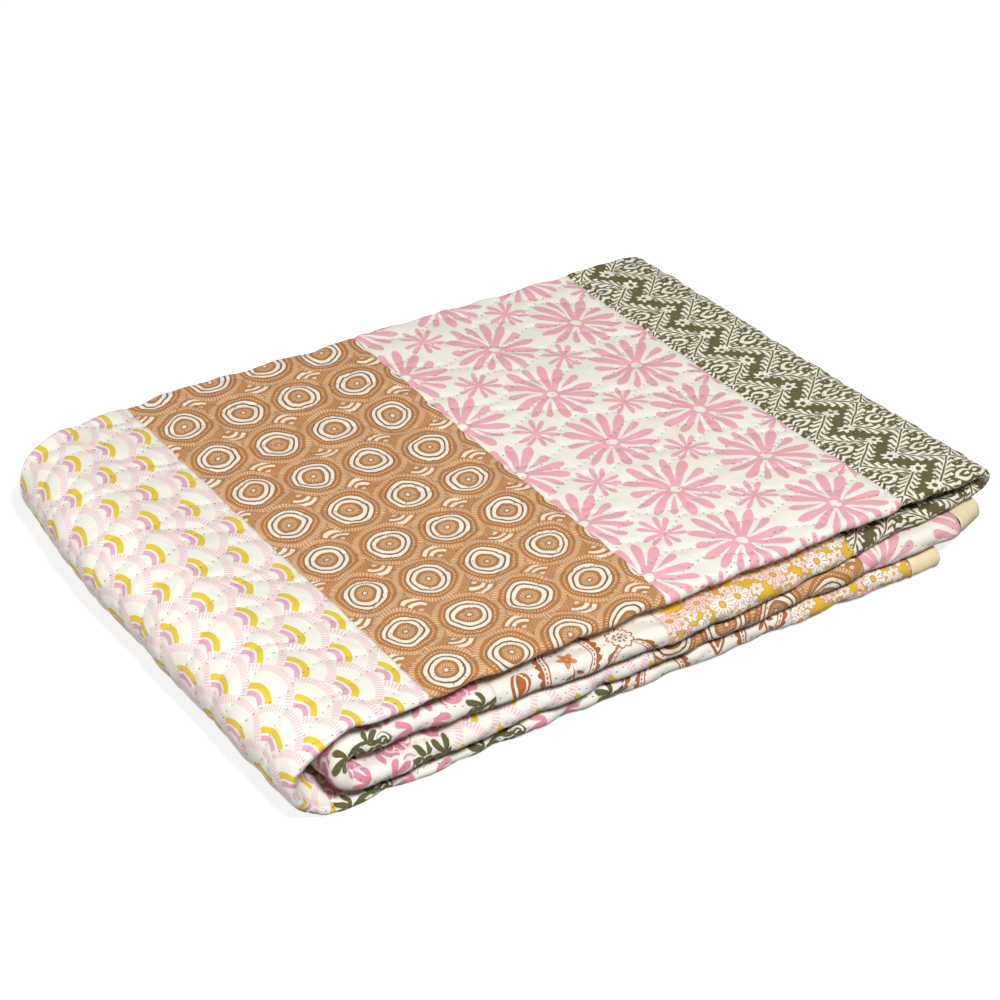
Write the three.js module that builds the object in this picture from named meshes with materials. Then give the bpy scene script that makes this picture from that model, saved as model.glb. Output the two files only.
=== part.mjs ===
// A patchwork quilted throw folded to a flat packet: in four across its width, then in four along its length.
// Millimetres, +Z up. The cloth is one sheet, and a plain binding closes each of its two ends.
import * as THREE from 'three';

// Cloth and binding
const CLOTH_THICKNESS = 2.6;
const BINDING_THICKNESS = 2.9;
const BINDING_WIDTH = 21;
const PIECE_GAP = 0.3;

// The packet's depth, front fold to back folds, how blunt the front fold is, and how far inside it the long
// edges of the cloth lie
const PACKET_DEPTH = 326;
const FRONT_BLUNTNESS = 1.1;
const INNER_EDGE_SETBACK = 6;

// Height of the quilting's soft channels on the printed face
const CHANNEL_RELIEF = 0.3;

// The four runs of the length, in the order in which the cloth goes: up from its lower end, over the top, back
// under it and forward again. Each is a band of four layers. Three values are its start, middle and end:
// level is the height of the band's middle line, pitch the step from layer to layer, front and back how far
// its front fold and its back folds stand out beyond the packet's depth.
const RUNS = [
  { name: 'bottom', fromX: 326, toX: -49, level: [7.45, 7.15, 5.8], pitch: [4.0, 3.9, 3.0],
    front: [0, 0, 4], back: [-6, -2, 5], relief: 0, rows: 8 },
  { name: 'top', fromX: -49, toX: 369, level: [56, 55.9, 53], pitch: [3.0, 4.0, 3.0],
    front: [5, -1, -5], back: [8, 0, -3], relief: 1, rows: 15 },
  { name: 'under top', fromX: 369, toX: -37, level: [38.2, 38.6, 39.3], pitch: [3.0, 4.3, 3.0],
    front: [-7, 10.5, 3], back: [-6, -3, 2], relief: 0.4, rows: 10 },
  { name: 'over bottom', fromX: -37, toX: 352, level: [20, 22.6, 23.1], pitch: [3.0, 4.1, 4.0],
    front: [6, 4, 0], back: [2, -4, -7], relief: 0.4, rows: 9 },
];

// The turns between the runs: how far the band's middle line swings out past the run's end
const TURNS = [
  { name: 'outer left', reach: 27.5, rows: 9 },
  { name: 'right', reach: 7.9, rows: 8 },
  { name: 'inner left', reach: 9.5, rows: 8 },
];

// The two bindings: the run whose open end each carries on, and how far its front corner is drawn in
const BINDINGS = [
  { name: 'binding_lower_end', run: 0, atStart: true, cornerSetback: 1 },
  { name: 'binding_upper_end', run: 3, atStart: false, cornerSetback: 9 },
];

// Steps of the mesh round the width's folds, one part of the section after another
const SECTION = [
  { part: 'inner face layer', steps: 2 },
  { part: 'face back fold', steps: 4 },
  { part: 'face layer', steps: 16 },
  { part: 'front fold', steps: 7 },
  { part: 'under layer', steps: 4 },
  { part: 'under back fold', steps: 4 },
  { part: 'inner under layer', steps: 2 },
];

// Soft rises and hollows of the packet's top, each spread over a round patch
const SWELLS = [
  { x: -64, y: 329, rise: -2.6, spread: 53 },
  { x: 127, y: 159, rise: -1.6, spread: 95 },
  { x: 366, y: 21, rise: 1.6, spread: 53 },
];

// Both sides lean: their front corners stand further out than their back corners
const LEANS = [
  { side: -1, fromX: 42, reach: 117, lean: 6.4 },
  { side: 1, fromX: 212, reach: 159, lean: 19 },
];

const mix = THREE.MathUtils.lerp;
const smooth = (t) => THREE.MathUtils.smoothstep(t, 0, 1);

// Value at a share t of a run from its start, middle and end values
function along([start, middle, end], t) {
  return t < 0.5 ? mix(start, middle, smooth(2 * t)) : mix(middle, end, smooth(2 * t - 1));
}

// One station on a run: the middle line's place and the band's sizes there
function runStation(run, t) {
  return {
    x: mix(run.fromX, run.toX, t),
    z: along(run.level, t),
    pitch: along(run.pitch, t),
    front: along(run.front, t),
    back: along(run.back, t),
    relief: run.relief,
    heading: run.toX > run.fromX ? 0 : Math.PI,
  };
}

// One station on the half turn from one run to the next
function turnStation(turn, before, after, t) {
  const start = runStation(before, 1);
  const end = runStation(after, 0);
  const side = Math.sign(before.toX - before.fromX);
  const angle = Math.PI * t;
  const rise = end.z - start.z;
  return {
    x: start.x + side * turn.reach * Math.sin(angle),
    z: mix(start.z, end.z, (1 - Math.cos(angle)) / 2),
    pitch: mix(start.pitch, end.pitch, smooth(t)),
    front: mix(start.front, end.front, smooth(t)),
    back: mix(start.back, end.back, smooth(t)),
    relief: mix(start.relief, end.relief, smooth(t)),
    heading: Math.atan2(rise * Math.sin(angle) / 2, side * turn.reach * Math.cos(angle)),
  };
}

// All stations of the quilted cloth, from one end to the other
function clothStations() {
  const stations = [runStation(RUNS[0], 0)];
  RUNS.forEach((run, i) => {
    for (let k = 1; k <= run.rows; k += 1) stations.push(runStation(run, k / run.rows));
    const turn = TURNS[i];
    if (!turn) return;
    for (let k = 1; k < turn.rows; k += 1) stations.push(turnStation(turn, run, RUNS[i + 1], k / turn.rows));
    stations.push(runStation(RUNS[i + 1], 0));
  });
  return stations;
}

// Stations of a binding that carries a run on past its open end
function bindingStations({ run, atStart, cornerSetback }) {
  const { fromX, toX } = RUNS[run];
  const edge = runStation(RUNS[run], atStart ? 0 : 1);
  const outward = Math.sign(toX - fromX) * (atStart ? -1 : 1);
  const near = { ...edge, x: edge.x + outward * PIECE_GAP };
  const far = { ...near, x: near.x + outward * BINDING_WIDTH, front: near.front - cornerSetback };
  return atStart ? [far, near] : [near, far];
}

// Where a share t of one part of the section lies at a station: y across the packet, w off the middle line,
// and the angle of the way on along the section
function sectionPoint(station, part, t) {
  const { pitch } = station;
  const frontRadius = 1.5 * pitch * FRONT_BLUNTNESS;
  const frontY = frontRadius + CLOTH_THICKNESS / 2 - station.front;
  const backY = PACKET_DEPTH - (pitch + CLOTH_THICKNESS) / 2 + station.back;
  const innerY = frontY + INNER_EDGE_SETBACK;
  const turn = Math.PI * t;
  switch (part) {
    case 'inner face layer':
      return { y: mix(innerY, backY, t), w: pitch / 2, way: 0 };
    case 'face back fold':
      return { y: backY + pitch / 2 * Math.sin(turn), w: pitch * (1 - Math.cos(turn) / 2), way: turn };
    case 'face layer':
      return { y: mix(backY, frontY, t), w: 1.5 * pitch, way: Math.PI };
    case 'front fold':
      return {
        y: frontY - frontRadius * Math.sin(turn),
        w: 1.5 * pitch * Math.cos(turn),
        way: Math.PI + Math.atan2(1.5 * pitch * Math.sin(turn), frontRadius * Math.cos(turn)),
      };
    case 'under layer':
      return { y: mix(frontY, backY, t), w: -1.5 * pitch, way: 0 };
    case 'under back fold':
      return { y: backY + pitch / 2 * Math.sin(turn), w: -pitch * (1 + Math.cos(turn) / 2), way: turn };
    default:
      return { y: mix(backY, innerY, t), w: -pitch / 2, way: Math.PI };
  }
}

// The section's mesh points at a station, with shared ends counted once
function sectionPoints(station) {
  const points = [sectionPoint(station, SECTION[0].part, 0)];
  for (const { part, steps } of SECTION) {
    for (let k = 1; k <= steps; k += 1) {
      const channel = part === 'face layer' && k < steps ? (k % 2 ? -1 : 1) : 0;
      points.push({ ...sectionPoint(station, part, k / steps), channel });
    }
  }
  return points;
}

// Lays the packet's unevenness over a point: rises and hollows of its top, and the lean of its sides
function settle(point) {
  let rise = 0;
  for (const swell of SWELLS) {
    const away = Math.hypot(point.x - swell.x, point.y - swell.y) / swell.spread;
    rise += swell.rise * Math.exp(-away * away);
  }
  const topLevel = RUNS[1].level[1];
  point.z *= 1 + rise / topLevel;
  const forward = 0.5 - point.y / PACKET_DEPTH;
  let shift = 0;
  for (const { side, fromX, reach, lean } of LEANS) {
    shift += side * lean * forward * Math.max(0, side * (point.x - fromX)) / reach;
  }
  point.x += shift;
  return point;
}

// A closed sheet through the stations: a grid on each face of the cloth, joined along the rim
function sheetGeometry(stations, thickness) {
  const positions = [];
  const columns = sectionPoints(stations[0]).length;
  for (const side of [1, -1]) {
    for (const station of stations) {
      const normalX = -Math.sin(station.heading);
      const normalZ = Math.cos(station.heading);
      for (const { y, w, way, channel } of sectionPoints(station)) {
        const raised = side > 0 ? (channel ?? 0) * station.relief * CHANNEL_RELIEF / 2 : 0;
        const off = side * thickness / 2 + raised;
        const offY = off * Math.sin(way);
        const offW = -off * Math.cos(way);
        const point = settle(new THREE.Vector3(
          station.x + normalX * (w + offW), y + offY, station.z + normalZ * (w + offW)));
        positions.push(point.x, point.y, point.z);
      }
    }
  }
  const at = (side, row, column) => (side * stations.length + row) * columns + column;
  const index = [];
  const quad = (a, b, c, d) => index.push(a, b, c, a, c, d);
  for (let row = 0; row < stations.length - 1; row += 1) {
    for (let column = 0; column < columns - 1; column += 1) {
      quad(at(0, row, column), at(0, row, column + 1), at(0, row + 1, column + 1), at(0, row + 1, column));
      quad(at(1, row, column), at(1, row + 1, column), at(1, row + 1, column + 1), at(1, row, column + 1));
    }
    quad(at(0, row, 0), at(0, row + 1, 0), at(1, row + 1, 0), at(1, row, 0));
    const last = columns - 1;
    quad(at(0, row, last), at(1, row, last), at(1, row + 1, last), at(0, row + 1, last));
  }
  const end = stations.length - 1;
  for (let column = 0; column < columns - 1; column += 1) {
    quad(at(0, 0, column), at(1, 0, column), at(1, 0, column + 1), at(0, 0, column + 1));
    quad(at(0, end, column), at(0, end, column + 1), at(1, end, column + 1), at(1, end, column));
  }
  const geometry = new THREE.BufferGeometry();
  geometry.setAttribute('position', new THREE.Float32BufferAttribute(positions, 3));
  geometry.setIndex(index);
  geometry.computeVertexNormals();
  return geometry;
}

function piece(name, geometry, color) {
  const mesh = new THREE.Mesh(geometry, new THREE.MeshStandardMaterial({ color, roughness: 0.9, metalness: 0 }));
  mesh.name = name;
  return mesh;
}

const CLOTH_COLOR = '#dcc3ac';
const BINDING_COLOR = '#ebdeb8';
const packet = new THREE.Group();
packet.add(piece('quilt', sheetGeometry(clothStations(), CLOTH_THICKNESS), CLOTH_COLOR));
for (const binding of BINDINGS) {
  packet.add(piece(binding.name, sheetGeometry(bindingStations(binding), BINDING_THICKNESS), BINDING_COLOR));
}

// The origin is under the middle of the packet, on the surface where it lies
const box = new THREE.Box3().setFromObject(packet);
const centre = box.getCenter(new THREE.Vector3());
packet.position.set(-centre.x, -centre.y, -box.min.z);
const foldedThrow = new THREE.Group();
foldedThrow.add(packet);

export default foldedThrow;
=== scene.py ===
import bpy
import numpy as np
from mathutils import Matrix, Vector
from mathutils.kdtree import KDTree


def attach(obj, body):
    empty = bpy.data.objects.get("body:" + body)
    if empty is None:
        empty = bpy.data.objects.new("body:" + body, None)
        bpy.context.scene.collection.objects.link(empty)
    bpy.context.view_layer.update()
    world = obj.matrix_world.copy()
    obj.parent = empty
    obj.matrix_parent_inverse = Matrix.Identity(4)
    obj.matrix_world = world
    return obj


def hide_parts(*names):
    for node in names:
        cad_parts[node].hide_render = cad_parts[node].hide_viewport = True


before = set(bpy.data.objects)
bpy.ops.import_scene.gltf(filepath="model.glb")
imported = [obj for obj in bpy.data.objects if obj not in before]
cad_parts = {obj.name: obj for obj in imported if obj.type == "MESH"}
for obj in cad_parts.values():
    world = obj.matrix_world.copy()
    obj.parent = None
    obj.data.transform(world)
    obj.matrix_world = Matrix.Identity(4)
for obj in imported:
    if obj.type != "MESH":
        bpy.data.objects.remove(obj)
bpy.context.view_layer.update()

# Printed strips
# Thirteen strips of quilted cotton in seven prints, sewn edge to edge across the throw. The sewn cloth is folded
# in four across its width, both long edges to the middle and then in half, and then in four along its length.
# Each strip is one thin body that follows those folds, with a dimple at each stitch and a groove at each seam.
MM = 0.001
CLOTH_THICKNESS = 2.6
PACKET_DEPTH = 326
FRONT_BLUNTNESS = 1.1
INNER_EDGE_SETBACK = 22
LIP_LENGTH = 20
TOP_LEVEL = 55.9
PACKET_MIDDLE = np.array([153.50, 161.86, 0.0])

# A band is four layers, so its outer layers lie one and a half pitches off its middle line
HALF_BAND = 1.5

# The four runs of the length in the order in which the cloth goes. Three values are start, middle and end. Pinch
# is the share by which a band is thinner at its front fold, lift how far that fold is off the band's middle.
RUNS = [
    dict(name="bottom", from_x=326, to_x=-49, level=(7.45, 7.15, 5.8), pitch=(4.0, 3.9, 3.0),
         front=(0.5, 0.5, 0.5), back=(-6, -2, 5), pinch=(0.2, 0.2, 0.72), lift=(0, 0, 2.8), heading=np.pi),
    dict(name="top", from_x=-49, to_x=369, level=(56, 55.9, 53), pitch=(3.0, 4.0, 3.0),
         front=(9.5, 4, -0.5), back=(8, 0, -3), pinch=(0.72, 0.6, 0.62), lift=(3.2, 2.6, 2.6), heading=0.0),
    dict(name="under top", from_x=369, to_x=-37, level=(38.2, 38.6, 39.3), pitch=(3.0, 4.3, 3.0),
         front=(-6.5, 11.5, 4), back=(-6, -3, 2), pinch=(0.5, 0.12, 0.0), lift=(1.4, 0, 0), heading=-np.pi),
    dict(name="over bottom", from_x=-37, to_x=360, level=(18.6, 22.6, 23.1), pitch=(3.0, 4.1, 4.0),
         front=(7, 5, 0.5), back=(2, -4, -7), pinch=(0.0, 0.15, 0.15), lift=(0, 0, 0), heading=0.0),
]
TURN_REACH = dict(outer_left=27.5, right=7.9, inner_left=15)

# Waves of the folded edges along the cloth, at the back out of step with those at the front
EDGE_WAVES = [dict(length=61, height=0.8, start=0.4), dict(length=37, height=0.55, start=2.1),
              dict(length=23, height=0.35, start=4.0)]
BACK_WAVES_AHEAD = 500

# Soft rises and hollows of the top, the lean of the two sides, the corner that is drawn in, and the waves of the
# outer left fold, which grow from nothing over a short way
SWELLS = [
    dict(x=-64, y=329, rise=-2.6, spread=53),
    dict(x=127, y=159, rise=-1.6, spread=95),
    dict(x=366, y=21, rise=1.6, spread=53),
]
LEANS = [
    dict(side=-1, from_x=42, reach=117, lean=3.0),
    dict(side=1, from_x=212, reach=159, lean=19),
]
DRAWN_IN_CORNER = dict(x=-80, y=326, pull=(8.5, 0, 0), spread=50)
UNEVEN = dict(size=46, height=0.7, fine_size=19, fine_height=0.25, seed=5)
SIDE_WAVES = [dict(length=83, height=0.5, start=0.9), dict(length=41, height=0.3, start=2.0)]
SIDE_WAVES_FROM = -30
SIDE_WAVES_GROW = 40

# Columns of a station of the length, and the parts of the section across the width, one after another
X, LEVEL, FRONT, BACK = 0, 1, 3, 4
SECTION_PARTS = range(7)
INNER_FACE, FACE_BACK_FOLD, FACE, FRONT_FOLD, UNDER, UNDER_BACK_FOLD, INNER_UNDER = SECTION_PARTS


def smooth(share):
    return share * share * (3 - 2 * share)


def along(values, share):
    """Start, middle and end value, blended softly."""
    start, middle, end = values
    first = start + (middle - start) * smooth(np.clip(2 * share, 0, 1))
    second = middle + (end - middle) * smooth(np.clip(2 * share - 1, 0, 1))
    return np.where(share < 0.5, first, second)


def waves(places, parts):
    return sum(part["height"] * np.sin(2 * np.pi * places / part["length"] + part["start"]) for part in parts)


def soft_noise(x, y, seed):
    """Smooth random heights between -1 and 1 on a plane, the same each time."""
    def corner(i, j):
        mixed = np.sin(i * 127.1 + j * 311.7 + seed * 74.7) * 43758.5453
        return 2 * (mixed - np.floor(mixed)) - 1
    i, j = np.floor(x), np.floor(y)
    fx, fy = smooth(x - i), smooth(y - j)
    near = corner(i, j) * (1 - fx) + corner(i + 1, j) * fx
    far = corner(i, j + 1) * (1 - fx) + corner(i + 1, j + 1) * fx
    return near * (1 - fy) + far * fy


def uneven(x, y, how):
    """Soft heights over a plane, coarse ones with fine ones on them."""
    coarse = how["height"] * soft_noise(x / how["size"], y / how["size"], how["seed"])
    return coarse + how["fine_height"] * soft_noise(x / how["fine_size"], y / how["fine_size"], how["seed"] + 1)


def patch(x, y, at):
    """1 in the middle of a round patch, and softly less away from it."""
    return np.exp(-((x - at["x"]) ** 2 + (y - at["y"]) ** 2) / at["spread"] ** 2)


def length_of_cloth(run_steps=400, turn_steps=160):
    """The middle line of the folded length: how far along each station is, and what the band is like there."""
    stations = []
    for run, reach, after in zip(RUNS, [*TURN_REACH.values(), None], [*RUNS[1:], None]):
        share = np.linspace(0, 1, run_steps + 1)
        x = run["from_x"] + (run["to_x"] - run["from_x"]) * share
        sizes = [along(run[key], share) for key in ("level", "pitch", "front", "back", "pinch", "lift")]
        stations.append(np.stack([x, *sizes, np.full_like(share, run["heading"])], -1))
        if after is None:
            break
        share = np.linspace(0, 1, turn_steps + 1)[1:-1]
        side = np.sign(run["to_x"] - run["from_x"])
        angle = np.pi * share
        rise = after["level"][0] - run["level"][2]
        x = run["to_x"] + side * reach * np.sin(angle)
        z = run["level"][2] + rise * (1 - np.cos(angle)) / 2
        sizes = [run[key][2] + (after[key][0] - run[key][2]) * smooth(share)
                 for key in ("pitch", "front", "back", "pinch", "lift")]
        heading = np.arctan2(rise * np.sin(angle) / 2, side * reach * np.cos(angle))
        stations.append(np.stack([x, z, *sizes, heading], -1))
    stations = np.concatenate(stations)
    steps = np.hypot(np.diff(stations[:, X]), np.diff(stations[:, LEVEL]))
    length = np.concatenate([[0], np.cumsum(steps)])
    stations[:, FRONT] += waves(length, EDGE_WAVES)
    stations[:, BACK] += waves(length + BACK_WAVES_AHEAD, EDGE_WAVES)
    return length, stations


LENGTH_AT, STATIONS = length_of_cloth()
CLOTH_LENGTH = LENGTH_AT[-1]


def stations_at(length):
    return np.stack([np.interp(length, LENGTH_AT, values) for values in STATIONS.T], -1)


def section(pitch, front, back, pinch, lift, part, share):
    """Where a part of the section lies: y across the packet, w off the middle line, and the way on along it."""
    nose = HALF_BAND * pitch * (1 - pinch)
    radius = nose * FRONT_BLUNTNESS
    front_y = radius + CLOTH_THICKNESS / 2 - front
    back_y = PACKET_DEPTH - (pitch + CLOTH_THICKNESS) / 2 + back
    inner_y = front_y + INNER_EDGE_SETBACK
    turn = np.pi * share
    if part == INNER_FACE:
        return inner_y + (back_y - inner_y) * share, pitch / 2 + 0 * turn, 0 * (pitch + turn)
    if part == FACE_BACK_FOLD:
        return back_y + pitch / 2 * np.sin(turn), pitch * (1 - np.cos(turn) / 2), turn + 0 * pitch
    if part == FRONT_FOLD:
        way = np.pi + np.arctan2(nose * np.sin(turn), radius * np.cos(turn))
        return front_y - radius * np.sin(turn), nose * np.cos(turn) + lift, way
    if part == UNDER_BACK_FOLD:
        return back_y + pitch / 2 * np.sin(turn), -pitch * (1 + np.cos(turn) / 2), turn + 0 * pitch
    if part == INNER_UNDER:
        return back_y + (inner_y - back_y) * share, -pitch / 2 + 0 * turn, np.pi + 0 * (pitch + turn)
    y = back_y + (front_y - back_y) * (share if part == FACE else 1 - share)
    side = -1 if part == UNDER else 1
    near = np.clip((front_y + LIP_LENGTH - y) / LIP_LENGTH, 0, 1)
    change = side * (nose - HALF_BAND * pitch) + lift
    slope = -change * 6 * near * (1 - near) / LIP_LENGTH
    way = np.arctan(slope) + (np.pi if part == FACE else 0)
    return y, side * HALF_BAND * pitch + change * smooth(near), way


def settle(points):
    """Lays the packet's unevenness over points: rises and hollows, leaning and waved sides, a drawn-in corner."""
    x, y, z = points[..., 0], points[..., 1], points[..., 2]
    rise = uneven(x, y, UNEVEN)
    for swell in SWELLS:
        rise = rise + swell["rise"] * patch(x, y, swell)
    shift = waves(y, SIDE_WAVES) * smooth(np.clip((SIDE_WAVES_FROM - x) / SIDE_WAVES_GROW, 0, 1))
    for lean in LEANS:
        past = np.maximum(0, lean["side"] * (x - lean["from_x"])) / lean["reach"]
        shift = shift + lean["side"] * lean["lean"] * (0.5 - y / PACKET_DEPTH) * past
    settled = np.stack([x + shift, y, np.maximum(0, z * (1 + rise / TOP_LEVEL))], -1)
    return settled + patch(x, y, DRAWN_IN_CORNER)[..., None] * np.array(DRAWN_IN_CORNER["pull"])


def columns_of(shares):
    """Shares of the section's parts put one after another, with shared ends counted once."""
    parts, places = [], []
    for part, places_here in enumerate(shares):
        keep = places_here if part == 0 else places_here[1:]
        parts.append(np.full(len(keep), part))
        places.append(keep)
    return np.concatenate(parts), np.concatenate(places)


def cloth_points(stations, columns, off):
    """Points of the folded cloth, off its middle by that many millimetres towards its printed side."""
    parts, shares = columns
    x, level, pitch, front, back, pinch, lift, heading = (values[:, None] for values in stations.T)
    off = np.broadcast_to(off, (len(stations), len(parts)))
    points = np.empty((len(stations), len(parts), 3))
    for part in SECTION_PARTS:
        here = parts == part
        y, w, way = section(pitch, front, back, pinch, lift, part, shares[here][None, :])
        stands = w - off[:, here] * np.cos(way)
        points[:, here, 0] = x - np.sin(heading) * stands
        points[:, here, 1] = y + off[:, here] * np.sin(way)
        points[:, here, 2] = level + np.cos(heading) * stands
    return settle(points)


def graded(ends, step, between, span=315):
    """Shares along a layer: close together over a stretch at each end, a few in between."""
    count = int(round(ends / step))
    near = np.linspace(0, ends / span, count + 1)
    return np.concatenate([near, np.linspace(near[-1], 1 - near[-1], between + 1)[1:-1], 1 - near[::-1]])


def lengths_along(points, axis):
    """How far each point of a grid is along its row or column."""
    steps = np.linalg.norm(np.diff(points, axis=axis), axis=2)
    total = np.cumsum(steps, axis)
    return np.concatenate([np.zeros_like(total.take([0], axis)), total], axis)


def make_slab(name, outer, inner, keep_rows, keep_columns, chart, materials):
    """A closed thin body: a fine outer grid, an inner grid on some of its rows and columns, and rims between."""
    rows, columns = outer.shape[:2]
    inner = inner[np.ix_(keep_rows, keep_columns)]
    points = np.concatenate([outer.reshape(-1, 3), inner.reshape(-1, 3)])
    fine = np.arange(rows * columns).reshape(rows, columns)
    coarse = rows * columns + np.arange(inner.shape[0] * inner.shape[1]).reshape(inner.shape[:2])
    faces = np.stack([fine[:-1, :-1], fine[:-1, 1:], fine[1:, 1:], fine[1:, :-1]], -1).reshape(-1, 4)
    back = np.stack([coarse[:-1, :-1], coarse[1:, :-1], coarse[1:, 1:], coarse[:-1, 1:]], -1).reshape(-1, 4)
    rims = []
    for a, b, c0, c1 in zip(keep_columns[:-1], keep_columns[1:], coarse.T[:-1], coarse.T[1:]):
        rims.append([c0[0], c1[0], *fine[0, a:b + 1][::-1]])
        rims.append([c1[-1], c0[-1], *fine[-1, a:b + 1]])
    for a, b, r0, r1 in zip(keep_rows[:-1], keep_rows[1:], coarse[:-1], coarse[1:]):
        rims.append([r1[0], r0[0], *fine[a:b + 1, 0]])
        rims.append([r0[-1], r1[-1], *fine[a:b + 1, -1][::-1]])
    corners = np.concatenate([faces.ravel(), back.ravel(), *[np.array(rim) for rim in rims]])
    totals = np.array([4] * (len(faces) + len(back)) + [len(rim) for rim in rims])
    mesh = bpy.data.meshes.new(name)
    mesh.vertices.add(len(points))
    mesh.vertices.foreach_set("co", ((points - PACKET_MIDDLE) * MM).astype(np.float32).ravel())
    mesh.loops.add(len(corners))
    mesh.loops.foreach_set("vertex_index", corners.astype(np.int32))
    mesh.polygons.add(len(totals))
    mesh.polygons.foreach_set("loop_start", np.concatenate([[0], np.cumsum(totals)[:-1]]).astype(np.int32))
    mesh.update(calc_edges=True)
    slots = np.zeros(len(totals), np.int32)
    slots[len(faces):len(faces) + len(back)] = len(materials) - 1
    mesh.polygons.foreach_set("material_index", slots)
    mesh.polygons.foreach_set("use_smooth", np.ones(len(totals), bool))
    places = np.stack(chart, -1)
    places = np.concatenate([places.reshape(-1, 2), places[np.ix_(keep_rows, keep_columns)].reshape(-1, 2)])
    layer = mesh.uv_layers.new(name="cloth")
    layer.data.foreach_set("uv", (places[corners] * MM).astype(np.float32).ravel())
    for material in materials:
        mesh.materials.append(material)
    mesh.validate()
    piece = bpy.data.objects.new(name, mesh)
    bpy.context.scene.collection.objects.link(piece)
    return piece


def dye(red, green, blue):
    """A screen colour as the light that it stands for."""
    share = np.array([red, green, blue]) / 255
    light = np.where(share <= 0.04045, share / 12.92, ((share + 0.055) / 1.055) ** 2.4)
    return (*light, 1.0)


class Ink:
    """A value on a print's chart, in millimetres of cloth. Plain sums with it add shader nodes."""

    def __init__(self, tree, socket):
        self.tree = tree
        self.socket = socket

    def sum(self, operation, *values, clamp=False):
        node = self.tree.nodes.new("ShaderNodeMath")
        node.operation = operation
        node.use_clamp = clamp
        for slot, value in zip(node.inputs, values):
            if isinstance(value, Ink):
                self.tree.links.new(value.socket, slot)
            else:
                slot.default_value = value
        return Ink(self.tree, node.outputs[0])

    def __add__(self, other):
        return self.sum("ADD", self, other)

    def __sub__(self, other):
        return self.sum("SUBTRACT", self, other)

    def __rsub__(self, other):
        return self.sum("SUBTRACT", other, self)

    def __mul__(self, other):
        return self.sum("MULTIPLY", self, other)

    def __truediv__(self, other):
        return self.sum("DIVIDE", self, other)

    def __abs__(self):
        return self.sum("ABSOLUTE", self)

    def floor(self):
        return self.sum("FLOOR", self)

    def root(self):
        return self.sum("SQRT", self)

    def least(self, other):
        return self.sum("MINIMUM", self, other)

    def most(self, other):
        return self.sum("MAXIMUM", self, other)

    def wave(self):
        return self.sum("COSINE", self)

    def ticks(self):
        """A wave from 0 to 1."""
        return self.wave() * 0.5 + 0.5

    def angle(self, across):
        """Angle of the point with this height and that width."""
        return self.sum("ARCTAN2", self, across)

    def away(self, other):
        """Distance from the middle of the point with these two places."""
        return self.sum("SQRT", self.sum("MULTIPLY_ADD", self, self, other * other))

    def repeat(self, pitch):
        """Place within a repeat of that pitch, from minus half to plus half of it."""
        return self.sum("WRAP", self, pitch / 2, -pitch / 2)

    def cell(self, pitch):
        """Which repeat this is."""
        return (self / pitch + 0.5).floor()

    def odd(self):
        """1 on every second whole number."""
        return self.sum("WRAP", self, 2.0, 0.0)

    def under(self, edge, soft=0.3):
        """1 below an edge, 0 above it, over a soft line that wide."""
        if isinstance(edge, Ink):
            return self.sum("MULTIPLY_ADD", edge - self, 1 / soft, 0.5, clamp=True)
        return self.sum("MULTIPLY_ADD", self, -1 / soft, edge / soft + 0.5, clamp=True)

    def between(self, low, high, soft=0.3):
        return abs(self - (low + high) / 2).under((high - low) / 2, soft)

    def pick(self, yes, no):
        """The one value where this is 1, the other where it is 0."""
        return self.sum("MULTIPLY_ADD", self, yes - no, no)


def paint(tree, ground, mask, colour):
    """Lays a colour over a ground where the mask is 1. Returns the socket of the new ground."""
    node = tree.nodes.new("ShaderNodeMix")
    node.data_type = "RGBA"
    tree.links.new(mask.socket, node.inputs["Factor"])
    for slot, value in ((node.inputs[6], ground), (node.inputs[7], colour)):
        if isinstance(value, bpy.types.NodeSocket):
            tree.links.new(value, slot)
        else:
            slot.default_value = value
    return node.outputs[2]


def paint_over(tree, ground, *layers):
    """Lays colours over a ground one after another, each where its mask is 1."""
    for mask, colour in layers:
        ground = paint(tree, ground, mask, colour)
    return ground


def noise_at(tree, place, size, detail):
    """Soft noise over the cloth with features of that size in millimetres."""
    noise = tree.nodes.new("ShaderNodeTexNoise")
    noise.noise_dimensions = "2D"
    noise.inputs["Scale"].default_value = 1 / size
    noise.inputs["Detail"].default_value = detail
    tree.links.new(place, noise.inputs["Vector"])
    return noise


def start_cloth(name, wobble=0.0, wobble_size=8.0):
    """A new cloth material: its tree and shader, the place on the cloth in millimetres, and the two drawn places."""
    material = bpy.data.materials.new(name)
    material.use_nodes = True
    tree = material.node_tree
    shader = tree.nodes["Principled BSDF"]
    chart = tree.nodes.new("ShaderNodeUVMap")
    chart.uv_map = "cloth"
    scale = tree.nodes.new("ShaderNodeVectorMath")
    scale.operation = "SCALE"
    scale.inputs["Scale"].default_value = 1 / MM
    tree.links.new(chart.outputs["UV"], scale.inputs[0])
    place = scale.outputs["Vector"]
    drawn = place
    if wobble:
        noise = noise_at(tree, place, wobble_size, 1.5)
        spread = tree.nodes.new("ShaderNodeVectorMath")
        spread.operation = "MULTIPLY_ADD"
        spread.inputs[1].default_value = (wobble * 4, wobble * 4, 0)
        tree.links.new(noise.outputs["Color"], spread.inputs[0])
        tree.links.new(place, spread.inputs[2])
        middle = tree.nodes.new("ShaderNodeVectorMath")
        middle.operation = "SUBTRACT"
        middle.inputs[1].default_value = (wobble * 2, wobble * 2, 0)
        tree.links.new(spread.outputs["Vector"], middle.inputs[0])
        drawn = middle.outputs["Vector"]
    split = tree.nodes.new("ShaderNodeSeparateXYZ")
    tree.links.new(drawn, split.inputs[0])
    return material, tree, shader, place, Ink(tree, split.outputs["X"]), Ink(tree, split.outputs["Y"])


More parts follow.
